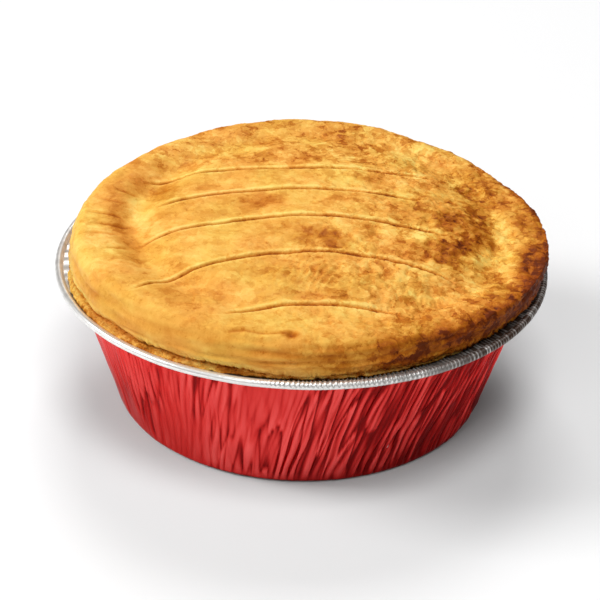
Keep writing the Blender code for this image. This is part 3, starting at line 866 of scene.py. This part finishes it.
def crease_depth(x, y):
    """1 along the middle of a crease on the left ring, 0 away from all of them."""
    radius = math.hypot(x, y)
    angle = math.atan2(y, x) % math.tau
    depth = 0.0
    for direction, inner, outer in CREASES:
        sideways = radius * (angle - math.radians(direction)) + 0.8 * MM * math.sin(radius / (3 * MM))
        ends = smooth_step((radius - inner) / (3 * MM)) * smooth_step((outer - radius) / (3 * MM))
        depth = max(depth, bell(sideways, 0.5 * MM) * ends)
    return depth


def terraces(place, size, levels):
    """Layers of pastry that break off in steps: 0 to 1, flat with short risers."""
    field = (0.5 + 0.5 * noise.noise(place / size)) + 0.10 * noise.noise(place / (0.3 * size))
    level, rest = divmod(field * levels, 1.0)
    return (level + smooth_step(rest / 0.2)) / levels


def flake_relief(place, share, angle):
    """Everything that breaks up the lid's skin: layers, blisters, grain and side strata."""
    rightward = 0.5 + 0.5 * math.cos(angle + 0.2) * min(share / 0.5, 1.0)
    rough = 0.35 + 1.25 * smooth_step(rightward * 1.5 - 0.55)
    side = smooth_step((share - TOP_SHARE - 0.02) / 0.07)
    layers = LAYERS_DEPTH * (terraces(place, 11 * MM, 6) - 0.5)
    layers += FLAKES_DEPTH * (terraces(place + Vector((0.3, 0.2, 0.1)), 3.8 * MM, 3) - 0.5) * rough
    long_place = Vector((place.x / (7 * MM), place.y / (2.6 * MM), place.z / (2.6 * MM)))
    ripples = RIPPLE_DEPTH * noise.noise(long_place)
    blisters = BLISTER_HEIGHT * noise.noise(place / (2.7 * MM)) * rough
    wrinkle_line = abs(noise.noise(place / (3.1 * MM) + Vector((5, 5, 5))))
    wrinkles = -WRINKLE_DEPTH * (1 - smooth_step(wrinkle_line / 0.14)) * rough
    grain = GRAIN_HEIGHT * noise.noise(place / (1.2 * MM)) * rough
    strata_place = Vector((place.x / (11 * MM), place.y / (11 * MM), place.z / (1.2 * MM)))
    strata = STRATA_DEPTH * noise.noise(strata_place) * side
    return (layers + ripples + blisters + wrinkles + grain) * (1 - 0.35 * side) + strata


def foot_slits(angle, height):
    """Fine upright cracks in the pale band along the foot of the lid."""
    band = 1 - smooth_step((height - wander(SEAM_HEIGHT, SEAM_WANDER, angle) - 2.0 * MM) / (1.4 * MM))
    comb = abs(noise.noise(Vector((62 * math.cos(angle) / 1.1, 62 * math.sin(angle) / 1.1, 3.0))))
    return band, -SLIT_DEPTH * (1 - smooth_step(comb / 0.16)) * band


def puckers(x, y):
    """Cluster of curved wrinkles just in front of the lid's middle, from -1 to 1."""
    gather = bell(x - 1.5 * MM, 9 * MM) * bell(y + 30 * MM, 6.5 * MM)
    bend = x - 0.38 * (y + 30 * MM) + 1.6 * MM * noise.noise(Vector((x / (7 * MM), y / (6 * MM), 8.0)))
    return gather * (1 - 2 * abs(math.sin(bend * math.pi / (2.3 * MM))) ** 0.6)


def front_crack(x, y):
    """Crack along the front of the lid, with a small pit at its right end: 0 to 1."""
    line = bell(y + 57.6 * MM + 0.4 * MM * math.sin(x / (2 * MM)), 0.5 * MM)
    line *= smooth_step((x + 21 * MM) / (4 * MM)) * smooth_step((-3 * MM - x) / (2 * MM))
    return max(0.6 * line, bell(math.hypot(x + 4 * MM, y + 58 * MM), 1.1 * MM))


def flakiness(x, y, share):
    """How flaky the skin is: crisp at the right, the back and the side, calm on the left."""
    flaky = 0.42 + 0.45 * smooth_step((x + 8 * MM) / (38 * MM))
    flaky += 0.4 * smooth_step((y - 20 * MM) / (16 * MM))
    flaky += 0.25 * bell(math.hypot(x - 2 * MM, y + 28 * MM), 12 * MM)
    flaky -= 0.25 * smooth_step((share - TOP_SHARE) / 0.08) * smooth_step(0.5 - x / (40 * MM))
    return min(max(flaky, 0.0), 1.0)


def bake_and_shade_at(x, y, place, share, angle, gap, cut, relief):
    """Browning and painted shade from 0, pale, to 1, dark: by place, by height and by nearness to a score.
    """
    bake_and_shade = PLAIN_BAKE
    ragged = 0.50 * noise.noise(place / (5.5 * MM)) + 0.42 * noise.noise(place / (2.1 * MM))
    ragged += 0.26 * noise.noise(place / (1.0 * MM))
    for spot_x, spot_y, half_width, half_depth, amount in BROWNING:
        edge = math.hypot((x / MM - spot_x) / half_width, (y / MM - spot_y) / half_depth) + ragged
        if edge < 1.45:
            bake_and_shade += (0.78 if amount > 0 else 1.0) * amount * (1 - smooth_step((edge - 0.65) / 0.8))
    # The lid's side and front-right edge grow browner towards the right: partly browning, partly painted
    # shade on the side away from the light.
    side = smooth_step((share - TOP_SHARE - 0.03) / 0.08)
    bake_and_shade += 0.50 * side * smooth_step(1.6 * math.cos(angle + math.radians(18)) - 0.30)
    right = smooth_step(1.8 * math.cos(angle + math.radians(5)) - 0.9)
    front_right = smooth_step(2.2 * math.cos(angle + math.radians(32)) - 1.3)
    bake_and_shade += 0.07 * smooth_step((share - 0.70) / 0.06) * right
    bake_and_shade += (0.26 + 0.14 * ragged) * smooth_step((share - 0.75 + 0.03 * ragged) / 0.05) * front_right
    strata = noise.noise(Vector((place.x / (13 * MM), place.y / (13 * MM), place.z / (1.5 * MM))))
    bake_and_shade += (0.06 + 0.16 * strata) * side
    # Painted shade and highlight: every hollow of the relief is darker and every rise paler.
    bake_and_shade -= 150.0 * relief
    # Painted shade darkens each score's cut; the near lip is paler as painted highlight, and the far lip is
    # paler both as less-browned pastry and as painted highlight.
    if abs(gap) < 4 * MM:
        bake_and_shade += 0.42 * bell(gap, 0.42 * MM) * cut
        bake_and_shade -= 0.18 * bell(gap - FAR_LIP_PLACE, 0.75 * MM) * cut
        bake_and_shade -= 0.10 * bell(gap - NEAR_LIP_PLACE, 0.6 * MM) * cut
    # Painted shade darkens the creases on the left ring and the front crack with its pit; the puckers are
    # paler on their ridges and darker between them.
    bake_and_shade += 0.20 * crease_depth(x, y) + 0.35 * front_crack(x, y) - 0.07 * puckers(x, y)
    return min(bake_and_shade, 0.70 + 0.45 * (bake_and_shade - 0.70))


lid_mesh = bmesh.new()
bmesh.ops.create_grid(lid_mesh, x_segments=LID_GRID, y_segments=LID_GRID, size=1.0)
lid_share = lid_mesh.verts.layers.float.new("share")
lid_bake_and_shade = lid_mesh.verts.layers.float.new("bake_and_shade")
lid_flaky = lid_mesh.verts.layers.float.new("flaky")
for vertex in lid_mesh.verts:
    share, angle = disc_place(vertex.co.x, vertex.co.y)
    radius, height = lid_place(share, angle)
    vertex[lid_share] = share
    vertex.co = (radius * math.cos(angle), radius * math.sin(angle), height)
close_to_score = [
    edge for edge in lid_mesh.edges
    if edge.verts[0][lid_share] < TOP_SHARE
    and abs(near_score(edge.verts[0].co.x, edge.verts[0].co.y)[0]) < 1.5 * MM
]
bmesh.ops.subdivide_edges(lid_mesh, edges=close_to_score, cuts=1, use_grid_fill=True)
lid_mesh.normal_update()
normals = {vertex: vertex.normal.copy() for vertex in lid_mesh.verts}
for vertex in lid_mesh.verts:
    place = vertex.co.copy()
    x, y, height = place
    share = vertex[lid_share]
    angle = math.atan2(y, x)
    gap, cut = near_score(x, y)
    cut *= 1 - smooth_step((share - TOP_SHARE) / 0.05)
    band, slits = foot_slits(angle, height)
    on_top = 1 - smooth_step((share - TOP_SHARE + 0.03) / 0.05)
    relief = flake_relief(place, share, angle) * (1 - 0.5 * cut * bell(gap, 2 * MM))
    relief += slits
    relief += score_relief(gap, cut)
    relief -= LEFT_CREASE_DEPTH * crease_depth(x, y)
    relief -= FRONT_CRACK_DEPTH * front_crack(x, y)
    relief += PUCKER_HEIGHT * puckers(x, y) * on_top
    vertex[lid_bake_and_shade] = bake_and_shade_at(x, y, place, share, angle, gap, cut, relief) - 0.16 * band
    vertex[lid_flaky] = flakiness(x, y, share)
    vertex.co = place + normals[vertex] * relief + Vector((LID_CENTRE.x, LID_CENTRE.y, 0.0))
foot_edges = [edge for edge in lid_mesh.edges if edge.is_boundary]
ring = bmesh.ops.extrude_edge_only(lid_mesh, edges=foot_edges)["geom"]
ring_verts = [item for item in ring if isinstance(item, bmesh.types.BMVert)]
for vertex in ring_verts:
    vertex.co.x *= 0.9
    vertex.co.y *= 0.9
    vertex.co.z = SEAM_HEIGHT + LID_GAP + 0.5 * MM
bmesh.ops.contextual_create(lid_mesh, geom=[edge for edge in lid_mesh.edges if edge.is_boundary])
bmesh.ops.recalc_face_normals(lid_mesh, faces=lid_mesh.faces)

LID_CRUST = pastry_material("lid_crust", 0.42, 250.0, 0.11, 0.09 * MM)
pie_lid = new_piece("pie_lid", lid_mesh, [LID_CRUST])
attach(pie_lid, "root")
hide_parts("lid_crust")

# -- Floor, light and camera -------------------------------------------------------------------
# A plain white table top in a studio: one soft panel low on the left, one behind the pie and one
# above it that light the lid, and two weak ones before the foil wall. The camera looks down on
# the front of the pie.

FLOOR_SIZE = 4.0
SKY_STRENGTH = 0.03
PIE_MIDDLE = Vector((0.0, 0.0, 30 * MM))
LIGHT_DISTANCE = 2.3
LIGHT_SIZE = 0.9
SOFT_LIGHTS = (                           # name, compass direction and height in degrees, power
    ("light_left", 180, 34, 32.0),
    ("light_back", 90, 52, 20.0),
    ("light_top", 278, 72, 21.0),
    ("light_front", 245, 38, 7.0),
    ("light_right", 318, 52, 5.0),
)
CAMERA_AIM = Vector((-0.16 * MM, 0.0, 25.08 * MM))
CAMERA_DISTANCE = 515.95 * MM
CAMERA_ELEVATION = math.radians(28.742)
CAMERA_ROLL = math.radians(1.46)
CAMERA_LENS = 116.84


def white_floor():
    material = bpy.data.materials.new("white_table")
    material.use_nodes = True
    tree = material.node_tree
    shader = tree.nodes["Principled BSDF"]
    shader.inputs["Roughness"].default_value = 0.75
    place = node(tree, "TexCoord")
    cloud = node(tree, "TexNoise", Scale=3.0, Detail=2.0)
    tint = node(tree, "ValToRGB")
    tint.color_ramp.elements[0].color = (0.90, 0.90, 0.905, 1)
    tint.color_ramp.elements[1].color = (0.93, 0.93, 0.93, 1)
    tree.links.new(place.outputs["Object"], cloud.inputs["Vector"])
    tree.links.new(cloud.outputs["Fac"], tint.inputs["Fac"])
    tree.links.new(tint.outputs["Color"], shader.inputs["Base Color"])
    return material


floor_mesh = bmesh.new()
bmesh.ops.create_grid(floor_mesh, x_segments=1, y_segments=1, size=FLOOR_SIZE / 2)
floor = bpy.data.objects.new("floor", bpy.data.meshes.new("floor"))
floor_mesh.to_mesh(floor.data)
floor_mesh.free()
floor.data.materials.append(white_floor())
bpy.context.scene.collection.objects.link(floor)
floor.location.z = -0.02 * MM


for name, compass, height, power in SOFT_LIGHTS:
    lamp = bpy.data.lights.new(name, "AREA")
    lamp.size = LIGHT_SIZE
    lamp.energy = power
    holder = bpy.data.objects.new(name, lamp)
    bpy.context.scene.collection.objects.link(holder)
    level = math.cos(math.radians(height))
    away = Vector((
        level * math.cos(math.radians(compass)),
        level * math.sin(math.radians(compass)),
        math.sin(math.radians(height)),
    ))
    place = Matrix.Translation(PIE_MIDDLE + LIGHT_DISTANCE * away)
    holder.matrix_world = place @ (-away).to_track_quat("-Z", "Y").to_matrix().to_4x4()

sky = bpy.data.worlds.new("pale_sky")
sky.use_nodes = True
sky_glow = sky.node_tree.nodes["Background"]
sky_glow.inputs["Color"].default_value = (1.0, 1.0, 1.0, 1)
sky_glow.inputs["Strength"].default_value = SKY_STRENGTH
bpy.context.scene.world = sky
bpy.context.scene.view_settings.view_transform = "Standard"

eye = Vector((0.0, -math.cos(CAMERA_ELEVATION), math.sin(CAMERA_ELEVATION))) * CAMERA_DISTANCE
eye.z += BEAD_HEIGHT
camera = bpy.data.objects.new("camera", bpy.data.cameras.new("camera"))
camera.data.lens = CAMERA_LENS
camera.data.sensor_width = 36
camera.data.clip_start = 0.01
look = (CAMERA_AIM - eye).to_track_quat("-Z", "Y").to_matrix().to_4x4()
camera.matrix_world = Matrix.Translation(eye) @ look @ Matrix.Rotation(CAMERA_ROLL, 4, "Z")
bpy.context.scene.collection.objects.link(camera)
bpy.context.scene.camera = camera

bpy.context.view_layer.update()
